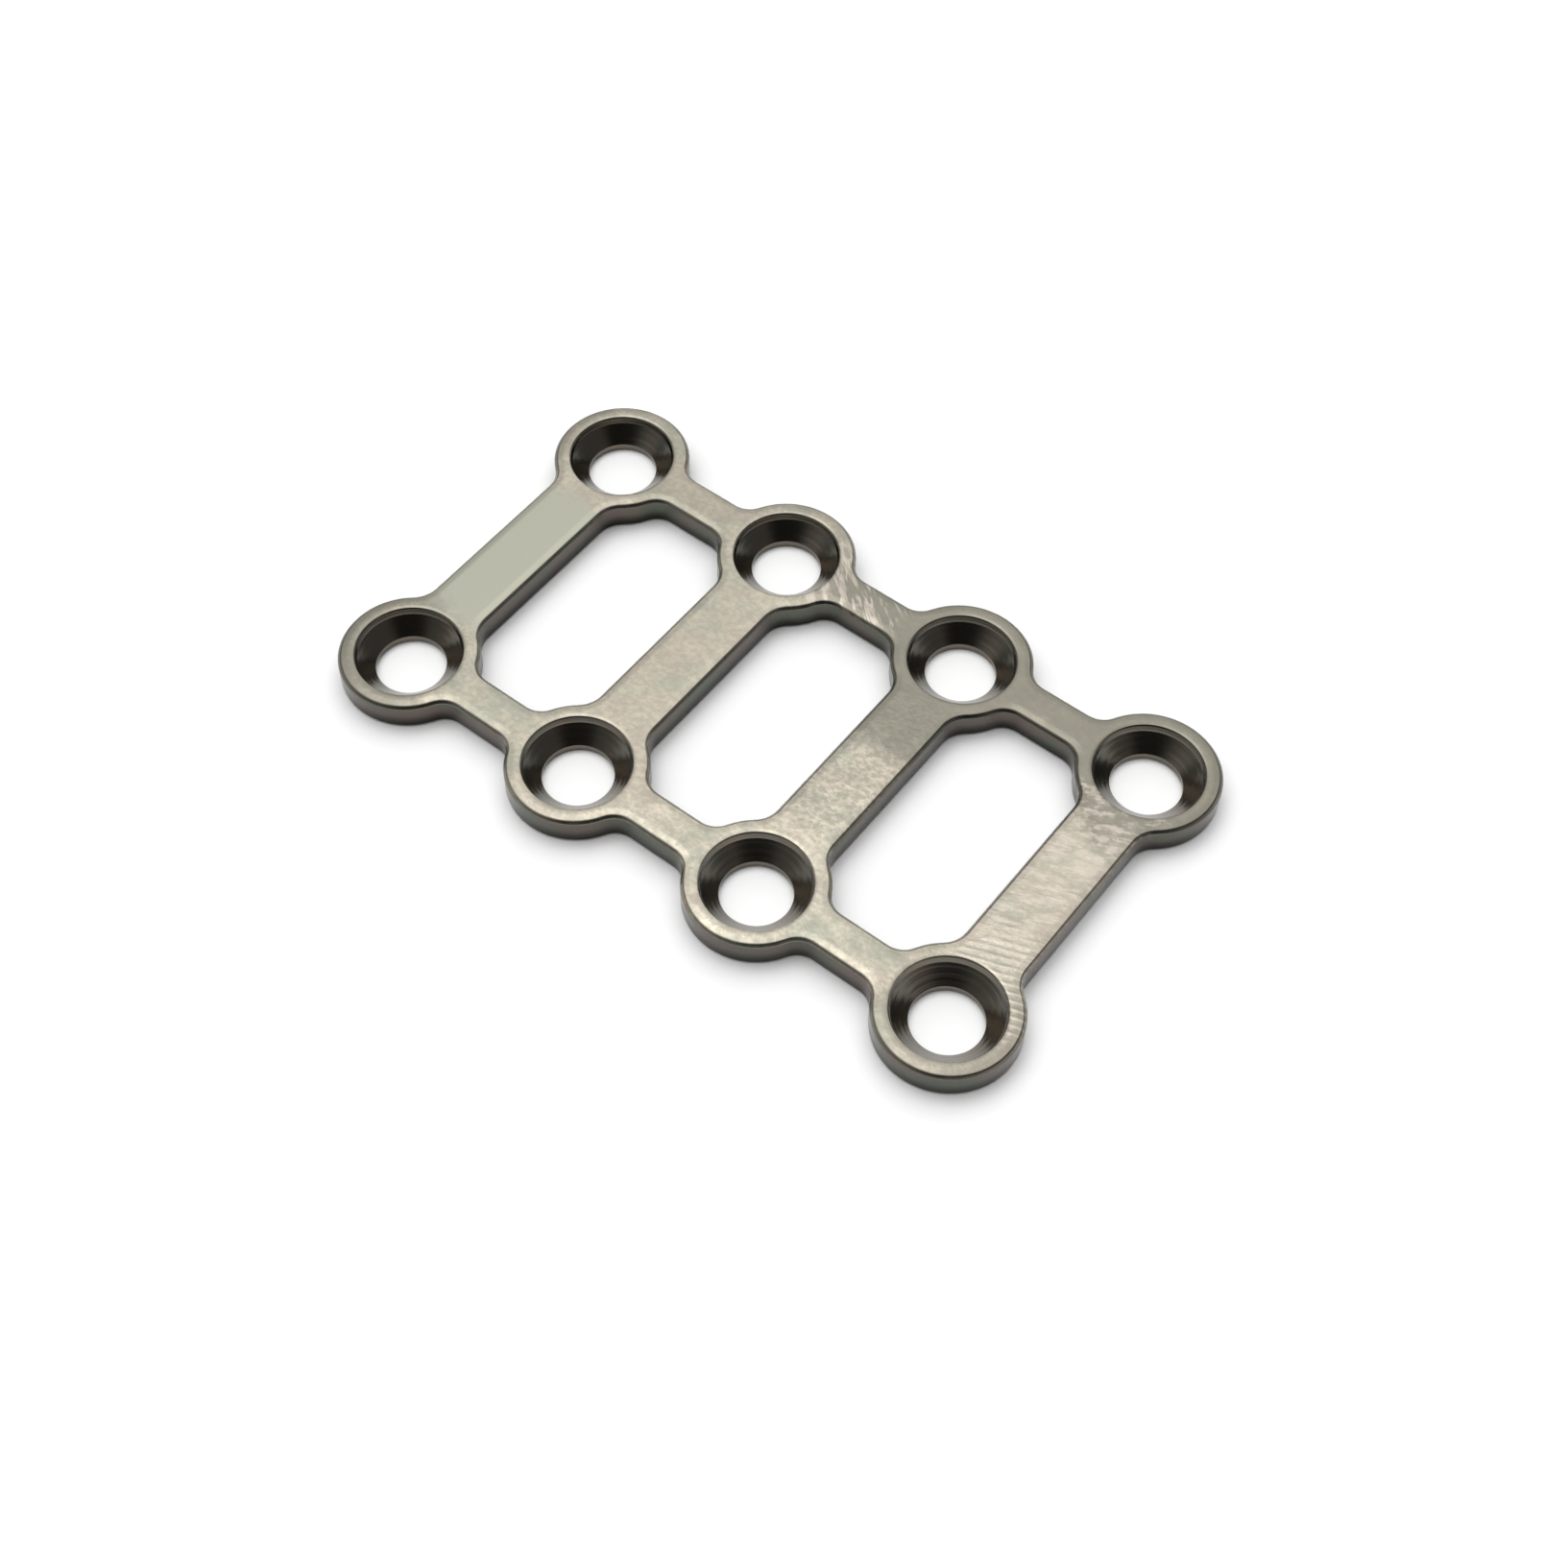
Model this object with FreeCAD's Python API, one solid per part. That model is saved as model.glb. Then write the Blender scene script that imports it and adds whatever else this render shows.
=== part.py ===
import FreeCAD, Part
import math
import os

# Titanium ladder plate for small bones, cut and turned from one sheet.
# Frame: origin at the centre of the underside, X along the plate, Y across it,
# Z up from the side that lies on the bone to the side that takes the screws.
# All sizes are in millimetres.

# Screw hole grid
COLUMNS = 4
ROWS = 2
COLUMN_PITCH = 8.35
ROW_PITCH = 12.6

# Plate and bars
THICKNESS = 1.2
RUNG_WIDTH = 2.64
RAIL_WIDTH = 1.66

# Screw hole, from the upper face down
RIM_DIAMETER = 4.1
RIM_DEPTH = 0.28
SEAT_ANGLE = 100.0
BORE_DIAMETER = 2.7
BOSS_LAND = 0.66

# Blends where the round bosses run into the bars
RUNG_BLEND = 1.1
RAIL_BLEND = 0.9

# Broken edges, each taken off as much from the face as from the wall
UPPER_EDGE_BREAK = 0.16
LOWER_EDGE_BREAK = 0.15
RIM_BREAK = 0.08
BORE_EDGE_BREAK = 0.15

# Worked out from the sizes above
BOSS_RADIUS = RIM_DIAMETER / 2 + BOSS_LAND
RIM_RADIUS = RIM_DIAMETER / 2
BORE_RADIUS = BORE_DIAMETER / 2
SEAT_DEPTH = (RIM_RADIUS - BORE_RADIUS) / math.tan(math.radians(SEAT_ANGLE / 2))
LENGTH_OF_RAIL = (COLUMNS - 1) * COLUMN_PITCH
LENGTH_OF_RUNG = (ROWS - 1) * ROW_PITCH
COLUMN_X = [(i - (COLUMNS - 1) / 2) * COLUMN_PITCH for i in range(COLUMNS)]
ROW_Y = [(j - (ROWS - 1) / 2) * ROW_PITCH for j in range(ROWS)]
HOLE_CENTRES = [(x, y) for y in ROW_Y for x in COLUMN_X]

# Two lengths closer than this are taken as the same when an edge is looked up
MATCH = 1e-4


def bar(length, width, along_x, x, y):
    """A straight bar of the plate's thickness, centred on x, y."""
    size_x, size_y = (length, width) if along_x else (width, length)
    corner = FreeCAD.Vector(x - size_x / 2, y - size_y / 2, 0)
    return Part.makeBox(size_x, size_y, THICKNESS, corner)


def blank():
    """The ladder in plan: a boss at every hole, a rail along each row and a rung along each column."""
    bosses = [
        Part.makeCylinder(BOSS_RADIUS, THICKNESS, FreeCAD.Vector(x, y, 0))
        for x, y in HOLE_CENTRES
    ]
    rails = [bar(LENGTH_OF_RAIL, RAIL_WIDTH, True, 0, y) for y in ROW_Y]
    rungs = [bar(LENGTH_OF_RUNG, RUNG_WIDTH, False, x, 0) for x in COLUMN_X]
    pieces = bosses + rails + rungs
    return pieces[0].fuse(pieces[1:]).removeSplitter()


def is_upright(edge):
    """Does the edge run straight up through the plate?"""
    box = edge.BoundBox
    return box.XLength < MATCH and box.YLength < MATCH


def nearest(values, target):
    return min(values, key=lambda value: abs(value - target))


def bar_side_corners(solid, centres, width, coordinate):
    """Upright edges where a boss meets the side of a bar, whose middle line is at one of the centres."""
    found = []
    for edge in solid.Edges:
        place = coordinate(edge.BoundBox.Center)
        offset = abs(place - nearest(centres, place))
        if is_upright(edge) and abs(offset - width / 2) < MATCH:
            found.append(edge)
    return found


def blend_bosses_into_bars(solid):
    """Round the inside corners, so that each boss flows into its rails and rungs."""
    rung_corners = bar_side_corners(solid, COLUMN_X, RUNG_WIDTH, lambda point: point.x)
    solid = solid.makeFillet(RUNG_BLEND, rung_corners)
    rail_corners = bar_side_corners(solid, ROW_Y, RAIL_WIDTH, lambda point: point.y)
    return solid.makeFillet(RAIL_BLEND, rail_corners)


def edges_at_height(solid, height):
    """Every edge that lies flat at this height."""
    return [
        edge
        for edge in solid.Edges
        if abs(edge.BoundBox.ZMin - height) < MATCH and abs(edge.BoundBox.ZMax - height) < MATCH
    ]


def break_outline_edges(solid):
    """Break the upper and lower edges of the outline and of the windows."""
    solid = solid.makeChamfer(UPPER_EDGE_BREAK, edges_at_height(solid, THICKNESS))
    return solid.makeChamfer(LOWER_EDGE_BREAK, edges_at_height(solid, 0))


def screw_hole():
    """What a screw hole removes: broken rim, straight wall, conical seat, bore, broken lower edge."""
    rim_foot = THICKNESS - RIM_DEPTH
    seat_foot = rim_foot - SEAT_DEPTH
    overrun = THICKNESS
    radius_and_height = [
        (0, -overrun),
        (BORE_RADIUS + BORE_EDGE_BREAK + overrun, -overrun),
        (BORE_RADIUS, BORE_EDGE_BREAK),
        (BORE_RADIUS, seat_foot),
        (RIM_RADIUS, rim_foot),
        (RIM_RADIUS, THICKNESS - RIM_BREAK),
        (RIM_RADIUS + RIM_BREAK + overrun, THICKNESS + overrun),
        (0, THICKNESS + overrun),
        (0, -overrun),
    ]
    profile = Part.makePolygon([FreeCAD.Vector(r, 0, z) for r, z in radius_and_height])
    return Part.Face(profile).revolve(FreeCAD.Vector(), FreeCAD.Vector(0, 0, 1), 360)


def drill(solid):
    """Turn a screw hole at every crossing of a rail and a rung."""
    cutter = screw_hole()
    return solid.cut([cutter.translated(FreeCAD.Vector(x, y, 0)) for x, y in HOLE_CENTRES])


def bone_plate():
    return drill(break_outline_edges(blend_bosses_into_bars(blank())))


os.makedirs("parts", exist_ok=True)
plate = bone_plate().Solids[0]
plate.exportStep("parts/bone_plate.step")
print("bone_plate", plate.isValid(), "volume %.3f mm3" % plate.Volume)
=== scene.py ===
import math

import bmesh
import bpy
from mathutils import Euler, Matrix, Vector


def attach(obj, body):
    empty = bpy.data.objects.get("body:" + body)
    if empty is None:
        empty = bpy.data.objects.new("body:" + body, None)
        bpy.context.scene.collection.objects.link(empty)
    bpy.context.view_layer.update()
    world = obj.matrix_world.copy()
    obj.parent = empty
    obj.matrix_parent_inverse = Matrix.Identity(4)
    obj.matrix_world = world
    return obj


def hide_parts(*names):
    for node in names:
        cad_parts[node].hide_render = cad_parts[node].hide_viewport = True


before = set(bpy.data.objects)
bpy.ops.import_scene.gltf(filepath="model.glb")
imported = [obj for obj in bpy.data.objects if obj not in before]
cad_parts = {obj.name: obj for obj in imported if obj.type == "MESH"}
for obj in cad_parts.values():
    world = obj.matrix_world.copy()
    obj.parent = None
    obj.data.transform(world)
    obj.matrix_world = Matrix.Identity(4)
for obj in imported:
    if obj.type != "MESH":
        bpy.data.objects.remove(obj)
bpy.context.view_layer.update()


# The bone plate: a ladder of eight bosses with countersunk screw holes, joined by rails and rungs.
# Titanium sheet, cut to its outline, drilled and countersunk, then tumbled in stone chips until
# every edge is round. It is one piece, with nothing fixed to it. Sizes are in millimetres.

COLUMN_PITCH = 8.35
ROW_PITCH = 12.6
COLUMNS = 4
ROWS = 2
THICKNESS = 1.2
BOSS_RADIUS = 2.71
RUNG_HALF_WIDTH = 1.32
RAIL_HALF_WIDTH = 0.83
RUNG_BLEND = 1.1
RAIL_BLEND = 0.9
RIM_RADIUS = 2.05
BORE_RADIUS = 1.35
RIM_DEPTH = 0.28
SEAT_ANGLE = math.radians(100)
ARC_STEP = math.radians(4)
MM = 0.001


def arc(centre, radius, start, end):
    """Points of an arc from one angle to another, both ends included."""
    count = max(2, math.ceil(abs(end - start) / ARC_STEP))
    angles = [start + (end - start) * i / count for i in range(count + 1)]
    return [(centre[0] + radius * math.cos(a), centre[1] + radius * math.sin(a)) for a in angles]


def mirrored(points, x, y):
    return [(px * x, py * y) for px, py in points]


def moved(points, x, y):
    return [(px + x, py + y) for px, py in points]


# The blends where a boss runs into its rail and into its rung. The boss is centred on the origin,
# with its rail along +X and its rung along +Y.
rail_side = RAIL_HALF_WIDTH + RAIL_BLEND
rail_blend_centre = (math.sqrt((BOSS_RADIUS + RAIL_BLEND) ** 2 - rail_side ** 2), rail_side)
rail_angle = math.atan2(rail_blend_centre[1], rail_blend_centre[0])
rung_side = RUNG_HALF_WIDTH + RUNG_BLEND
rung_blend_centre = (rung_side, math.sqrt((BOSS_RADIUS + RUNG_BLEND) ** 2 - rung_side ** 2))
rung_angle = math.atan2(rung_blend_centre[1], rung_blend_centre[0])
rail_onto_boss = arc(rail_blend_centre, RAIL_BLEND, -math.pi / 2, rail_angle - math.pi)
boss_onto_rung = arc(rung_blend_centre, RUNG_BLEND, rung_angle - math.pi, -math.pi)

# A window runs anticlockwise and the outside clockwise, so that the metal is always on the right
window_corner = moved(
    rail_onto_boss + arc((0, 0), BOSS_RADIUS, rail_angle, rung_angle)[1:-1] + boss_onto_rung,
    -COLUMN_PITCH / 2, -ROW_PITCH / 2,
)
window = (
    window_corner[::-1] + mirrored(window_corner, -1, 1)
    + mirrored(window_corner, -1, -1)[::-1] + mirrored(window_corner, 1, -1)
)
lower_side = []
for i in range(COLUMNS):
    first, last = i == 0, i == COLUMNS - 1
    start = math.pi - rung_angle if first else math.pi + rail_angle
    end = 2 * math.pi + rung_angle if last else 2 * math.pi - rail_angle
    onto = mirrored(boss_onto_rung, -1, 1)[::-1] if first else mirrored(rail_onto_boss, -1, -1)
    off = boss_onto_rung if last else mirrored(rail_onto_boss, 1, -1)[::-1]
    lower_side += moved(
        onto + arc((0, 0), BOSS_RADIUS, start, end)[1:-1] + off,
        (i - (COLUMNS - 1) / 2) * COLUMN_PITCH, -ROW_PITCH / 2,
    )
outside = (lower_side + mirrored(lower_side, -1, -1))[::-1]
windows = [moved(window, (i - 1) * COLUMN_PITCH, 0) for i in range(COLUMNS - 1)]


def drawn(name, lines, cyclic):
    """A curve object of straight runs. Each point is x, y and the radius that rounds it."""
    curve = bpy.data.curves.new(name, "CURVE")
    curve.dimensions = "3D"
    for line in lines:
        spline = curve.splines.new("POLY")
        spline.points.add(len(line) - 1)
        for point, (x, y, *rounding) in zip(spline.points, line):
            point.co = (x, y, 0, 1)
            point.radius = rounding[0] if rounding else 0
        spline.use_cyclic_u = cyclic
    drawing = bpy.data.objects.new(name, curve)
    bpy.context.scene.collection.objects.link(drawing)
    return drawing


# Sections through the edge of the plate and through a hole, as the distance into the metal from
# the wall or the rim, the depth below the upper face, and the radius that rounds the corner.
# Tumbling leaves a slight fall towards each edge and then a broken corner. A section starts in
# the flat of the upper face, a little before the fall, and ends in the flat of the lower face.
EDGE_TOP_LAND = 0.44
EDGE_FALL = math.radians(8)
EDGE_FALL_WIDTH = 0.25
EDGE_BREAK = 0.12
LIP_TOP_LAND = 0.19
LIP_FALL = math.radians(11)
LIP_FALL_WIDTH = 0.1
LIP_BREAK = 0.05
RIM_DRAFT = 0.055
BOTTOM_LAND = 0.3
seat_width = RIM_RADIUS - BORE_RADIUS
seat_foot = RIM_DEPTH + seat_width / math.tan(SEAT_ANGLE / 2)
edge_drop = EDGE_FALL_WIDTH * math.tan(EDGE_FALL)
lip_drop = LIP_FALL_WIDTH * math.tan(LIP_FALL)
edge_section = [
    (EDGE_TOP_LAND, 0), (EDGE_BREAK + EDGE_FALL_WIDTH, 0, 0.8), (EDGE_BREAK, edge_drop, 0.15),
    (0, edge_drop + EDGE_BREAK, 0.08), (0, THICKNESS, 0.15), (BOTTOM_LAND, THICKNESS),
]
hole_section = [
    (LIP_TOP_LAND, 0), (LIP_BREAK + LIP_FALL_WIDTH, 0, 0.4), (LIP_BREAK, lip_drop, 0.02),
    (0, lip_drop + LIP_BREAK, 0.02), (-RIM_DRAFT, RIM_DEPTH, 0.02), (-seat_width, seat_foot, 0.05),
    (-seat_width, THICKNESS, 0.12), (BOTTOM_LAND - seat_width, THICKNESS),
]
outline = drawn("outline", [outside] + windows, True)
edge_drawing = drawn("edge_section", [edge_section], False)
hole_drawing = drawn("hole_section", [hole_section], False)


def add(tree, kind, sockets=None, **settings):
    """Add a node with its settings, and fill its inputs, by name or number.

    An input takes a value, a socket, a node, which gives its first output in use, or a list of them.
    """
    made = tree.nodes.new(kind)
    for name, value in settings.items():
        setattr(made, name, value)
    for key, values in (sockets or {}).items():
        for value in values if isinstance(values, list) else [values]:
            if isinstance(value, bpy.types.Node):
                value = next(output for output in value.outputs if output.enabled)
            if isinstance(value, bpy.types.NodeSocket):
                tree.links.new(value, made.inputs[key])
            else:
                made.inputs[key].default_value = value
    return made


def linear(code):
    """A hex sRGB colour as the linear RGBA that sockets take."""
    parts = [int(code[i:i + 2], 16) / 255 for i in (1, 3, 5)]
    return (*(p / 12.92 if p <= 0.04045 else ((p + 0.055) / 1.055) ** 2.4 for p in parts), 1)


def in_mm(tree):
    """The place on the plate in millimetres."""
    place = add(tree, "ShaderNodeTexCoord").outputs["Object"]
    return add(tree, "ShaderNodeVectorMath", {0: place, "Scale": 1 / MM}, operation="SCALE")


def blotches(tree, place, length, width, angle=0, detail=3, roughness=0.55, distortion=0):
    """Blotches of this length and width in millimetres, which lie at this angle to +X."""
    laid = add(tree, "ShaderNodeMapping", {
        "Vector": place, "Rotation": (0, 0, math.radians(angle)), "Scale": (length, width, 1)},
        vector_type="TEXTURE")
    return add(tree, "ShaderNodeTexNoise", {
        "Vector": laid, "Scale": 1, "Detail": detail, "Roughness": roughness, "Distortion": distortion})


def two_tone(tree, pattern, low, high, first, second):
    """The first colour where the pattern is under low and the second where it is over high."""
    share = add(tree, "ShaderNodeMapRange", {"Value": pattern, "From Min": low, "From Max": high},
                interpolation_type="SMOOTHSTEP")
    return add(tree, "ShaderNodeMix", {"Factor": share, 6: first, 7: second}, data_type="RGBA")


# Unalloyed titanium, tumbled: a warm grey satin, in places greenish or rosy, cloudy and finely
# speckled. The first rung has an even, smoother patch. The stones have left a rippled skin on the
# last rung, ridges beside its near hole and streaks on the middle of the far rail. The far right
# corner and spots beside some holes are darker. The cut sides are darker, and a painted shade
# darkens them further towards their foot. Scratches too fine to show are left to the roughness.
# Lengths are in millimetres.
WANDER = 1.5
titanium = bpy.data.materials.new("tumbled_titanium")
titanium.use_nodes = True
tree = titanium.node_tree
tree.nodes.clear()
place = in_mm(tree)
clouds = blotches(tree, place, 1.1, 0.9, detail=5, roughness=0.65)
hue = blotches(tree, place, 2.6, 2.0, angle=30, detail=2)
grain = blotches(tree, place, 0.24, 0.2, roughness=0.6)
wander = add(tree, "ShaderNodeMath", {0: clouds, 1: 2 * WANDER, 2: -WANDER}, operation="MULTIPLY_ADD")


def patch(centre, reach, edge, strength=1, roam=1):
    """A patch of the upper face with this reach, whose soft edge roams like a stain's."""
    distance = add(tree, "ShaderNodeVectorMath", {0: place, 1: (*centre, THICKNESS)}, operation="DISTANCE")
    roaming = add(tree, "ShaderNodeMath", {0: wander, 1: roam, 2: distance}, operation="MULTIPLY_ADD")
    return add(tree, "ShaderNodeMapRange", {
        "Value": roaming, "From Min": reach, "From Max": reach + edge, "To Min": strength, "To Max": 0},
        interpolation_type="SMOOTHSTEP")


lighter = patch((4.8, -6.3), 5.1, 3.0)
pebbled = patch((4.2, 0.3), 2.8, 2.0)
even = patch((-12.5, -0.4), 3.3, 0.9, roam=0.5)
rippled = patch((12.5, 0.4), 3.8, 1.2)
dragged = patch((13.4, -4.4), 1.7, 0.9)
streaked = patch((-1.2, 6.2), 1.6, 1.4)
darker_spots = 0
for spot, reach, edge, strength in (
    ((3.2, 6.5), 4.6, 2.0, 0.8), ((11.8, 7.2), 3.4, 2.4, 0.8), ((-14.2, -7.4), 2.4, 2.2, 0.68),
    ((13.2, -7.0), 1.8, 2.2, 0.4), ((-9.5, 8.4), 3.0, 2.2, 0.28), ((-15.0, 6.3), 0.8, 2.2, 0.48),
    ((-3.6, 8.8), 0.9, 2.2, 0.4),
):
    darker_spots = add(tree, "ShaderNodeMath", {0: darker_spots, 1: patch(spot, reach, edge, strength)}, operation="MAXIMUM")

# Light marks of the stones: streaks, the ripples' tops broken into dashes by the grain, and the
# tops of the ridges, each in its own patch
streaks = blotches(tree, place, 1.3, 0.28, angle=-37, distortion=1.2)
ripples = blotches(tree, place, 0.85, 0.28, angle=25, distortion=0.4)
dashes = add(tree, "ShaderNodeMath", {0: grain, 1: 0.7, 2: ripples}, operation="MULTIPLY_ADD")
along_drag = add(tree, "ShaderNodeMapping", {"Vector": place, "Rotation": (0, 0, math.radians(20))},
                 vector_type="TEXTURE")
ridges = add(tree, "ShaderNodeTexWave", {
    "Vector": along_drag, "Scale": 1.0, "Distortion": 2.5, "Detail": 2, "Detail Scale": 0.5,
    "Detail Roughness": 0.5}, bands_direction="Y").outputs["Fac"]
marks = 0
for pattern, start, full, where in (
    (streaks, 0.47, 0.62, streaked), (dashes, 0.75, 1.03, rippled), (ridges, 0.55, 0.95, dragged),
):
    mark = add(tree, "ShaderNodeMapRange", {
        "Value": pattern, "From Min": start, "From Max": full, "To Max": where},
        interpolation_type="SMOOTHSTEP")
    marks = add(tree, "ShaderNodeMath", {0: marks, 1: mark}, operation="MAXIMUM")
light_marks = add(tree, "ShaderNodeMath", {0: marks, 1: 0.65}, operation="MULTIPLY")

# The colour of the upper face, laid on in layers over the clouds
speck_strength = add(tree, "ShaderNodeMath", {0: pebbled, 1: 0.3, 2: 0.4}, operation="MULTIPLY_ADD")
specks = add(tree, "ShaderNodeMapRange", {
    "Value": grain, "From Min": 0.38, "From Max": 0.62, "To Max": speck_strength},
    interpolation_type="SMOOTHSTEP")
dark_metal = two_tone(tree, hue, 0.38, 0.62, linear("#838377"), linear("#8B8378"))
light_metal = add(tree, "ShaderNodeMix", {
    "Factor": lighter, 6: linear("#968F81"), 7: linear("#A49D8E")}, data_type="RGBA")
top_metal = two_tone(tree, clouds, 0.3, 0.75, dark_metal, light_metal)
for share, shade in (
    (specks, "#75736A"), (even, "#86867A"), (darker_spots, "#626057"), (light_marks, "#A1998F"),
):
    top_metal = add(tree, "ShaderNodeMix", {
        "Factor": share, 6: top_metal, 7: linear(shade)}, data_type="RGBA")

# The cut sides, told from the upper face by how level the metal lies
normal = add(tree, "ShaderNodeTexCoord").outputs["Normal"]
upright = add(tree, "ShaderNodeSeparateXYZ", {0: normal}).outputs["Z"]
level = add(tree, "ShaderNodeMath", {0: upright}, operation="ABSOLUTE")
height = add(tree, "ShaderNodeSeparateXYZ", {0: place}).outputs["Z"]
upper_side = two_tone(tree, hue, 0.4, 0.6, linear("#5C6056"), linear("#665D57"))
# Painted shade: the cut sides darken towards their foot, where they meet the paper
foot_shaded_side_metal = two_tone(tree, height, 0.1, 0.75, linear("#252522"), upper_side)
colour = two_tone(tree, level, 0.3, 0.75, foot_shaded_side_metal, top_metal)

# The relief of the upper face: its grain, shallower on the even patch and deeper on the pebbled
# one, the ripples and the ridges
relief = add(tree, "ShaderNodeMath", {0: grain, 1: 0.35}, operation="MULTIPLY")
for pattern, depth, where in (
    (grain, -0.3, even), (ripples, 1.1, rippled), (ridges, 0.5, dragged), (grain, 0.5, pebbled),
):
    depth_here = add(tree, "ShaderNodeMath", {0: where, 1: depth}, operation="MULTIPLY")
    relief = add(tree, "ShaderNodeMath", {0: pattern, 1: depth_here, 2: relief}, operation="MULTIPLY_ADD")
on_top = add(tree, "ShaderNodeMapRange", {"Value": upright, "From Min": 0.98, "From Max": 0.998},
             interpolation_type="SMOOTHSTEP")
bump = add(tree, "ShaderNodeBump", {"Height": relief, "Strength": on_top, "Distance": 0.03 * MM})
satin = add(tree, "ShaderNodeMapRange", {
    "Value": clouds, "From Min": 0.3, "From Max": 0.7, "To Min": 0.28, "To Max": 0.2},
    interpolation_type="SMOOTHSTEP")
surface = add(tree, "ShaderNodeBsdfPrincipled", {
    "Base Color": colour, "Metallic": 1, "Roughness": satin, "Normal": bump})
add(tree, "ShaderNodeOutputMaterial", {"Surface": surface})

# The same titanium inside the holes, turned by the drill and countersink and out of the stones'
# reach: browner, and darker, partly as painted shade in the holes, with rings left by the tool,
# drawn a little coarser than they are. A painted highlight lightens the rim wall and a narrow ring
# just below the seat.
RIM_WALL_FOOT = THICKNESS - RIM_DEPTH
BRIGHT_RING_HEIGHT = 0.29
turned = bpy.data.materials.new("turned_titanium")
turned.use_nodes = True
tree = turned.node_tree
tree.nodes.clear()
half_grid = (COLUMN_PITCH / 2, ROW_PITCH / 2, 0)
from_column = add(tree, "ShaderNodeVectorMath", {0: in_mm(tree), 1: half_grid}, operation="SUBTRACT")
from_axis = add(tree, "ShaderNodeVectorMath", {
    0: from_column, 1: half_grid, 2: tuple(-h for h in half_grid)}, operation="WRAP")
flat = add(tree, "ShaderNodeVectorMath", {0: from_axis, 1: (1, 1, 0)}, operation="MULTIPLY")
radius = add(tree, "ShaderNodeVectorMath", {0: flat}, operation="LENGTH")
rings = add(tree, "ShaderNodeTexNoise", {"W": radius, "Scale": 9, "Detail": 2}, noise_dimensions="1D")
bump = add(tree, "ShaderNodeBump", {"Height": rings, "Strength": 1, "Distance": 0.003 * MM})
tint = blotches(tree, from_axis, 1.2, 1.2, detail=1)
# The seat colours are darker than the upper face's, partly as painted shade in the holes
seat_metal = two_tone(tree, tint, 0.4, 0.6, linear("#6D6B62"), linear("#746C62"))
# Painted highlight: a pale colour on the rim wall and on a narrow ring below the seat
painted_highlight_metal = linear("#C4C0B6")
height = add(tree, "ShaderNodeSeparateXYZ", {0: from_axis}).outputs["Z"]
above_ring = add(tree, "ShaderNodeMath", {0: height, 1: BRIGHT_RING_HEIGHT}, operation="SUBTRACT")
from_ring = add(tree, "ShaderNodeMath", {0: above_ring}, operation="ABSOLUTE")
ringed = two_tone(tree, from_ring, 0.03, 0.07, painted_highlight_metal, seat_metal)
colour = two_tone(tree, height, RIM_WALL_FOOT - 0.02, RIM_WALL_FOOT + 0.02, ringed, painted_highlight_metal)
surface = add(tree, "ShaderNodeBsdfPrincipled", {
    "Base Color": colour, "Metallic": 1, "Roughness": 0.18, "Normal": bump})
add(tree, "ShaderNodeOutputMaterial", {"Surface": surface})

# The tree sweeps the edge section along the outline, turns one hole and repeats it over the grid,
# and closes the upper and lower faces between them
ladder = bpy.data.node_groups.new("ladder_plate", "GeometryNodeTree")
ladder.interface.new_socket("Geometry", in_out="OUTPUT", socket_type="NodeSocketGeometry")
ladder.interface.new_socket("Geometry", in_out="INPUT", socket_type="NodeSocketGeometry")
sizes = {
    "Edge section": ("NodeSocketObject", edge_drawing),
    "Hole section": ("NodeSocketObject", hole_drawing),
    "Face metal": ("NodeSocketMaterial", titanium),
    "Hole metal": ("NodeSocketMaterial", turned),
    "Columns": ("NodeSocketInt", COLUMNS),
    "Rows": ("NodeSocketInt", ROWS),
    "Length of grid": ("NodeSocketFloat", (COLUMNS - 1) * COLUMN_PITCH),
    "Width of grid": ("NodeSocketFloat", (ROWS - 1) * ROW_PITCH),
    "Thickness": ("NodeSocketFloat", THICKNESS),
    "Rim radius": ("NodeSocketFloat", RIM_RADIUS),
    "Edge to upper face": ("NodeSocketFloat", EDGE_TOP_LAND),
    "Edge to lower face": ("NodeSocketFloat", BOTTOM_LAND),
    "Rim to upper face": ("NodeSocketFloat", LIP_TOP_LAND),
    "Rim to lower face": ("NodeSocketFloat", BOTTOM_LAND - seat_width),
    "Foot of lip": ("NodeSocketFloat", -0.06),
    "Step along outline": ("NodeSocketFloat", 0.14),
    "Steps round hole": ("NodeSocketInt", 96),
    "Steps round corner": ("NodeSocketInt", 7),
    "Weld distance": ("NodeSocketFloat", 0.002),
}
identifiers = {
    name: ladder.interface.new_socket(name, in_out="INPUT", socket_type=kind).identifier
    for name, (kind, value) in sizes.items()
}
given = add(ladder, "NodeGroupInput").outputs


def rounded_section(name):
    """The drawn section with its corners rounded."""
    section = add(ladder, "GeometryNodeObjectInfo", {"Object": given[name]}).outputs["Geometry"]
    return add(ladder, "GeometryNodeFilletCurve", {
        "Curve": section, "Count": given["Steps round corner"],
        "Radius": add(ladder, "GeometryNodeInputRadius")}, mode="POLY")


resampled = add(ladder, "GeometryNodeResampleCurve", {
    "Curve": given["Geometry"], "Length": given["Step along outline"]}, mode="LENGTH")
path = add(ladder, "GeometryNodeSetCurveNormal", {"Curve": resampled}, mode="Z_UP")
lift = add(ladder, "ShaderNodeCombineXYZ", {"Z": given["Thickness"]})
edge = add(ladder, "GeometryNodeCurveToMesh", {0: path, 1: rounded_section("Edge section")})
upper_edge = add(ladder, "GeometryNodeTransform", {"Geometry": edge, "Translation": lift})

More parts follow.
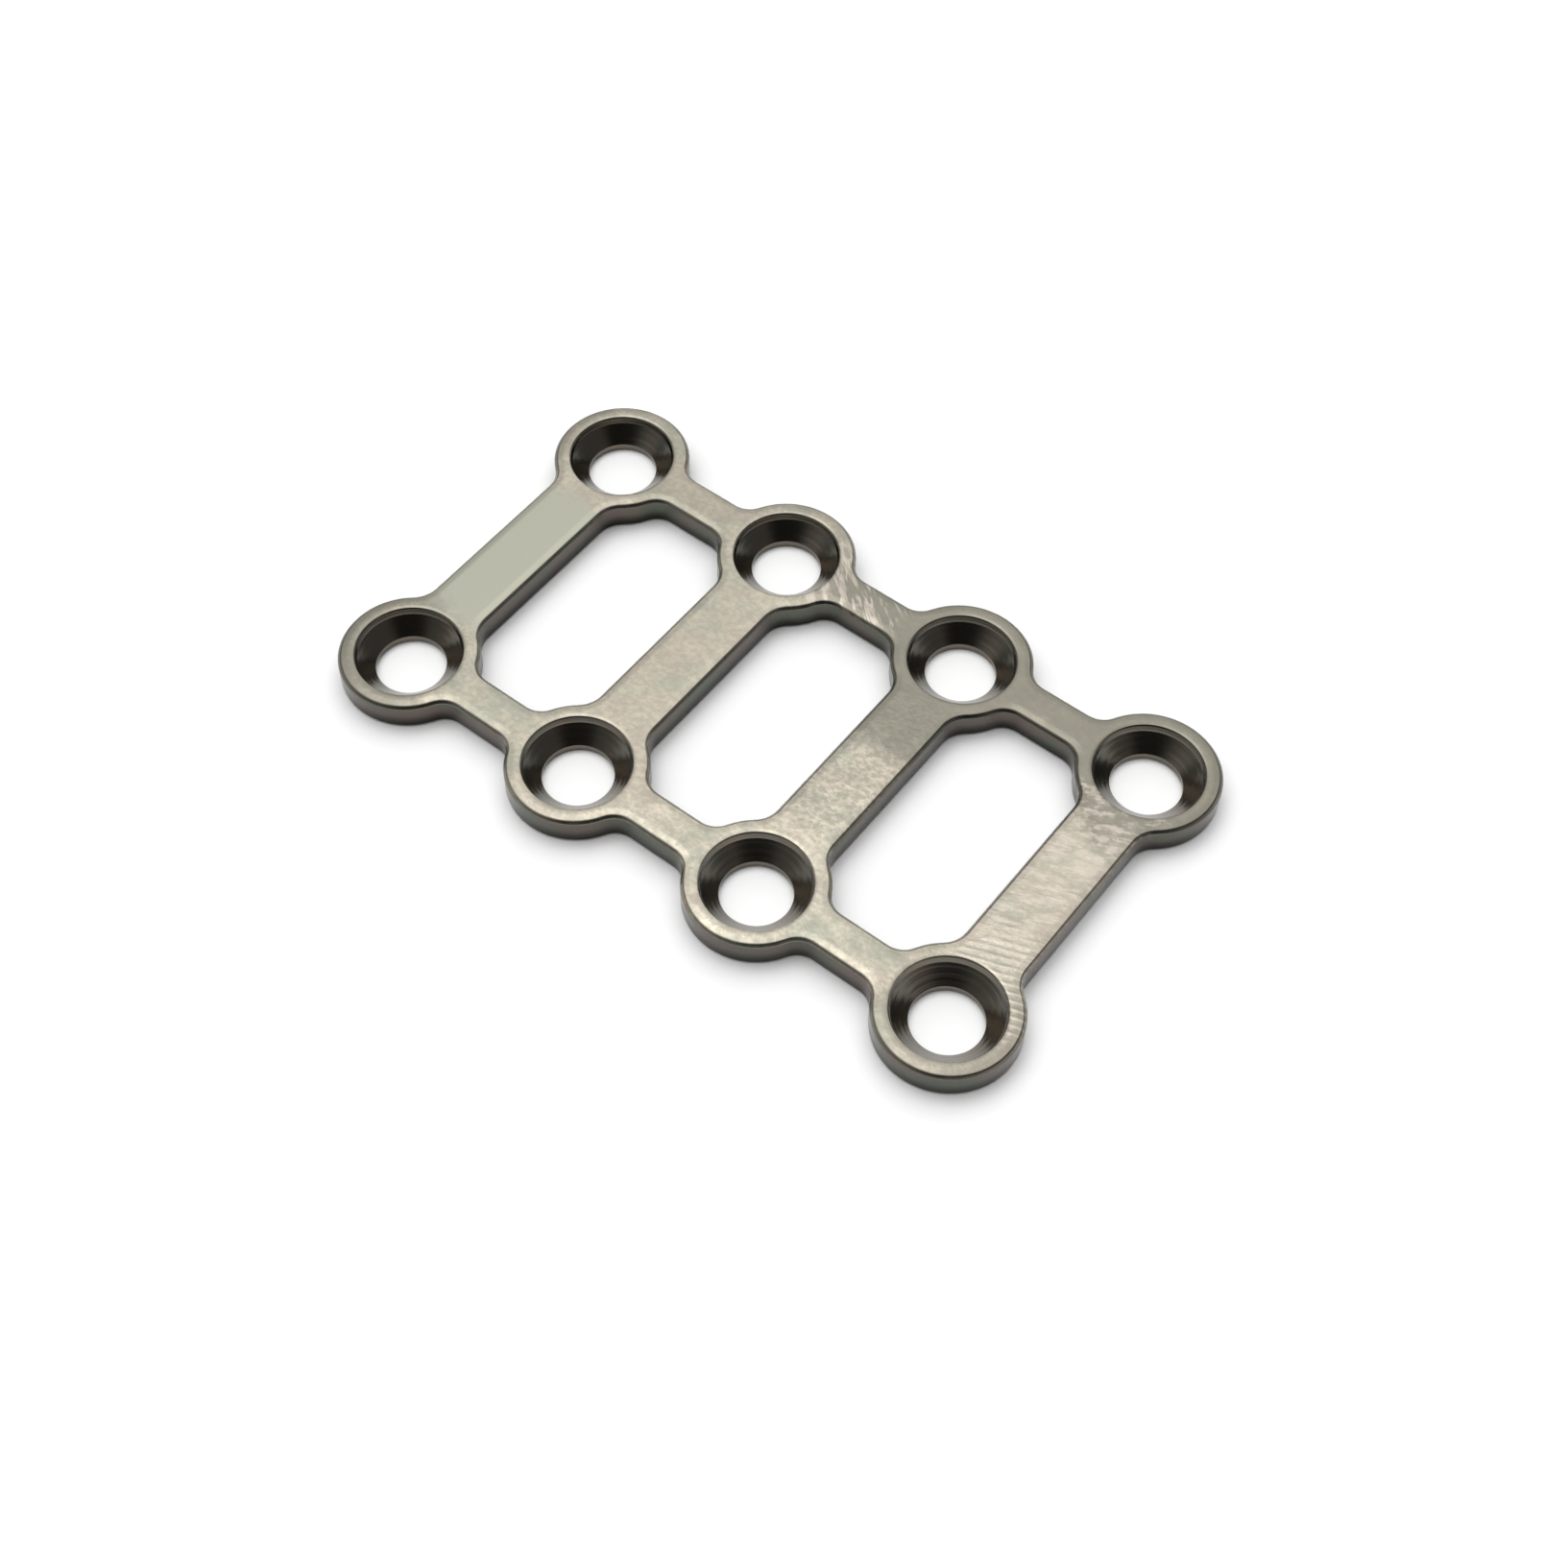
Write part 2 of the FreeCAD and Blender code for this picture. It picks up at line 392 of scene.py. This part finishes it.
circle = add(ladder, "GeometryNodeCurvePrimitiveCircle", {
    "Resolution": given["Steps round hole"], "Radius": given["Rim radius"]})
rim = add(ladder, "GeometryNodeSetCurveNormal", {"Curve": circle}, mode="Z_UP")
hole = add(ladder, "GeometryNodeCurveToMesh", {0: rim, 1: rounded_section("Hole section")})
position = add(ladder, "GeometryNodeInputPosition")
depth = add(ladder, "ShaderNodeSeparateXYZ", {0: position}).outputs["Z"]
below_lip = add(ladder, "FunctionNodeCompare", {0: depth, 1: given["Foot of lip"]},
                data_type="FLOAT", operation="LESS_THAN")
marked = add(ladder, "GeometryNodeStoreNamedAttribute", {
    "Geometry": hole, "Selection": below_lip, "Name": "hole", "Value": True},
    data_type="BOOLEAN", domain="FACE")
lifted_hole = add(ladder, "GeometryNodeTransform", {"Geometry": marked, "Translation": lift})
grid = add(ladder, "GeometryNodeMeshGrid", {
    "Size X": given["Length of grid"], "Size Y": given["Width of grid"],
    "Vertices X": given["Columns"], "Vertices Y": given["Rows"]})
holes = add(ladder, "GeometryNodeInstanceOnPoints", {"Points": grid, "Instance": lifted_hole})

# Into the metal is to the right of the way along the outline, which is the tangent turned about Z
tangent = add(ladder, "GeometryNodeInputTangent")
inward = add(ladder, "ShaderNodeVectorMath", {0: tangent, 1: (0, 0, 1)}, operation="CROSS_PRODUCT")


def face(edge_land, rim_land, height):
    """The flat face between the outline and the holes, at this height."""
    into_edge = add(ladder, "ShaderNodeVectorMath", {0: inward, "Scale": given[edge_land]}, operation="SCALE")
    loops = add(ladder, "GeometryNodeSetPosition", {"Geometry": path, "Offset": into_edge})
    into_rim = add(ladder, "ShaderNodeVectorMath", {0: inward, "Scale": given[rim_land]}, operation="SCALE")
    ring = add(ladder, "GeometryNodeSetPosition", {"Geometry": rim, "Offset": into_rim})
    rings = add(ladder, "GeometryNodeInstanceOnPoints", {"Points": grid, "Instance": ring})
    flat_rings = add(ladder, "GeometryNodeRealizeInstances", {"Geometry": rings})
    lines = add(ladder, "GeometryNodeJoinGeometry", {0: [loops, flat_rings]})
    filled = add(ladder, "GeometryNodeFillCurve", {"Curve": lines}, mode="TRIANGLES")
    return add(ladder, "GeometryNodeTransform", {"Geometry": filled, "Translation": height})


upper_face = face("Edge to upper face", "Rim to upper face", lift)
lower_face = face("Edge to lower face", "Rim to lower face", (0, 0, 0))
whole = add(ladder, "GeometryNodeJoinGeometry", {0: [upper_edge, holes, upper_face, lower_face]})
plain = add(ladder, "GeometryNodeRealizeInstances", {"Geometry": whole})
welded = add(ladder, "GeometryNodeMergeByDistance", {
    "Geometry": plain, "Distance": given["Weld distance"]})
metres = add(ladder, "GeometryNodeTransform", {"Geometry": welded, "Scale": (MM, MM, MM)})
smooth = add(ladder, "GeometryNodeSetShadeSmooth", {"Geometry": metres})
faced = add(ladder, "GeometryNodeSetMaterial", {"Geometry": smooth, "Material": given["Face metal"]})
in_hole = add(ladder, "GeometryNodeInputNamedAttribute", {"Name": "hole"}, data_type="BOOLEAN")
finished = add(ladder, "GeometryNodeSetMaterial", {
    "Geometry": faced, "Selection": in_hole, "Material": given["Hole metal"]})
add(ladder, "NodeGroupOutput", {"Geometry": finished})

build = outline.modifiers.new("ladder_plate", "NODES")
build.node_group = ladder
for name, (kind, value) in sizes.items():
    build[identifiers[name]] = value
bpy.context.view_layer.update()
evaluated = outline.evaluated_get(bpy.context.evaluated_depsgraph_get())
plate_mesh = bpy.data.meshes.new_from_object(evaluated)
outline.modifiers.remove(build)
for drawing in (outline, edge_drawing, hole_drawing):
    bpy.data.objects.remove(drawing)

shape = bmesh.new()
shape.from_mesh(plate_mesh)
bmesh.ops.recalc_face_normals(shape, faces=shape.faces)
shape.to_mesh(plate_mesh)
shape.free()
plate = bpy.data.objects.new("ladder_plate", plate_mesh)
bpy.context.scene.collection.objects.link(plate)
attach(plate, "root")
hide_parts("bone_plate")


# The table: a plain sheet of white paper, with no gloss, that the plate lies on. It runs on past
# the view on every side, and it isn't part of the object.

TABLE_HALF_WIDTH = 1.0
paper = bpy.data.materials.new("white_paper")
paper.use_nodes = True
tree = paper.node_tree
tree.nodes.clear()
surface = add(tree, "ShaderNodeBsdfDiffuse", {"Color": linear("#FFFFFF")})
add(tree, "ShaderNodeOutputMaterial", {"Surface": surface})
corners = [
    (x * TABLE_HALF_WIDTH, y * TABLE_HALF_WIDTH, 0) for x, y in ((-1, -1), (1, -1), (1, 1), (-1, 1))
]
table_mesh = bpy.data.meshes.new("table")
table_mesh.from_pydata(corners, [], [(0, 1, 2, 3)])
table_mesh.materials.append(paper)
table = bpy.data.objects.new("table", table_mesh)
bpy.context.scene.collection.objects.link(table)


# Light: one large soft window with a sill, high to the far left, with a lamp beside it, in a room
# whose ceiling is dim, most of all on the camera's side, and whose walls are pale. The light is the
# world itself, and white paper under it comes out just white.

world = bpy.data.worlds.new("soft_window")
bpy.context.scene.world = world
world.use_nodes = True
tree = world.node_tree
tree.nodes.clear()
way = add(tree, "ShaderNodeTexCoord").outputs["Generated"]
parts = add(tree, "ShaderNodeSeparateXYZ", {0: way}).outputs


def towards(direction, reach, full, at_reach, at_full):
    """One value beyond reach, in degrees, from a direction and another within full of it."""
    unit = tuple(Vector(direction).normalized())
    near = add(tree, "ShaderNodeVectorMath", {0: way, 1: unit}, operation="DOT_PRODUCT")
    return add(tree, "ShaderNodeMapRange", {
        "Value": near, "From Min": math.cos(math.radians(reach)), "From Max": math.cos(math.radians(full)),
        "To Min": at_reach, "To Max": at_full}, interpolation_type="SMOOTHSTEP")


def dimmed(light, way_along, low, high, least):
    """The light, brought down to this least share of it where the way is under low along an axis."""
    share = add(tree, "ShaderNodeMapRange", {
        "Value": way_along, "From Min": low, "From Max": high, "To Min": least},
        interpolation_type="SMOOTHSTEP")
    return add(tree, "ShaderNodeMath", {0: light, 1: share}, operation="MULTIPLY")


window_light = towards((-0.475, 0.25, 0.844), 71, 0, 0, 2.27)
lamp = towards((-0.34, 0.12, 0.933), 18, 6, 0, 1.3)
ceiling = towards((0.4, -0.53, 0.75), 42, 18, 0.15, 0.02)
pale_walls = towards((-0.096, 0.128, 1), 79, 72, 1, 0)
above = dimmed(window_light, parts["Z"], 0.1, 0.55, 0.2)
for light in (ceiling, lamp):
    above = add(tree, "ShaderNodeMath", {0: above, 1: light}, operation="ADD")
faded = dimmed(above, parts["X"], -0.9, -0.19, 0.54)
ended = dimmed(faded, parts["X"], -0.97, -0.72, 0.35)
strength = add(tree, "ShaderNodeMix", {"Factor": pale_walls, 2: ended, 3: 1.0}, data_type="FLOAT")
lit = add(tree, "ShaderNodeBackground", {"Color": linear("#FFFFFF"), "Strength": strength})
add(tree, "ShaderNodeOutputWorld", {"Surface": lit})
bpy.context.scene.view_settings.view_transform = "Standard"


# Camera: held above and to the right of the plate's near side, as the photograph's was, and turned
# so that the plate's columns run up to the right. The place is in millimetres.

camera_data = bpy.data.cameras.new("camera")
camera_data.sensor_width = 36
camera_data.lens = 56.14
camera_data.shift_x = 0.0362
camera_data.clip_start = 0.005
camera = bpy.data.objects.new("camera", camera_data)
camera.location = Vector((32.60, -43.04, 74.41)) * MM
camera.rotation_euler = Euler(math.radians(a) for a in (34.659, 0.383, 38.395))
bpy.context.scene.collection.objects.link(camera)
bpy.context.scene.camera = camera
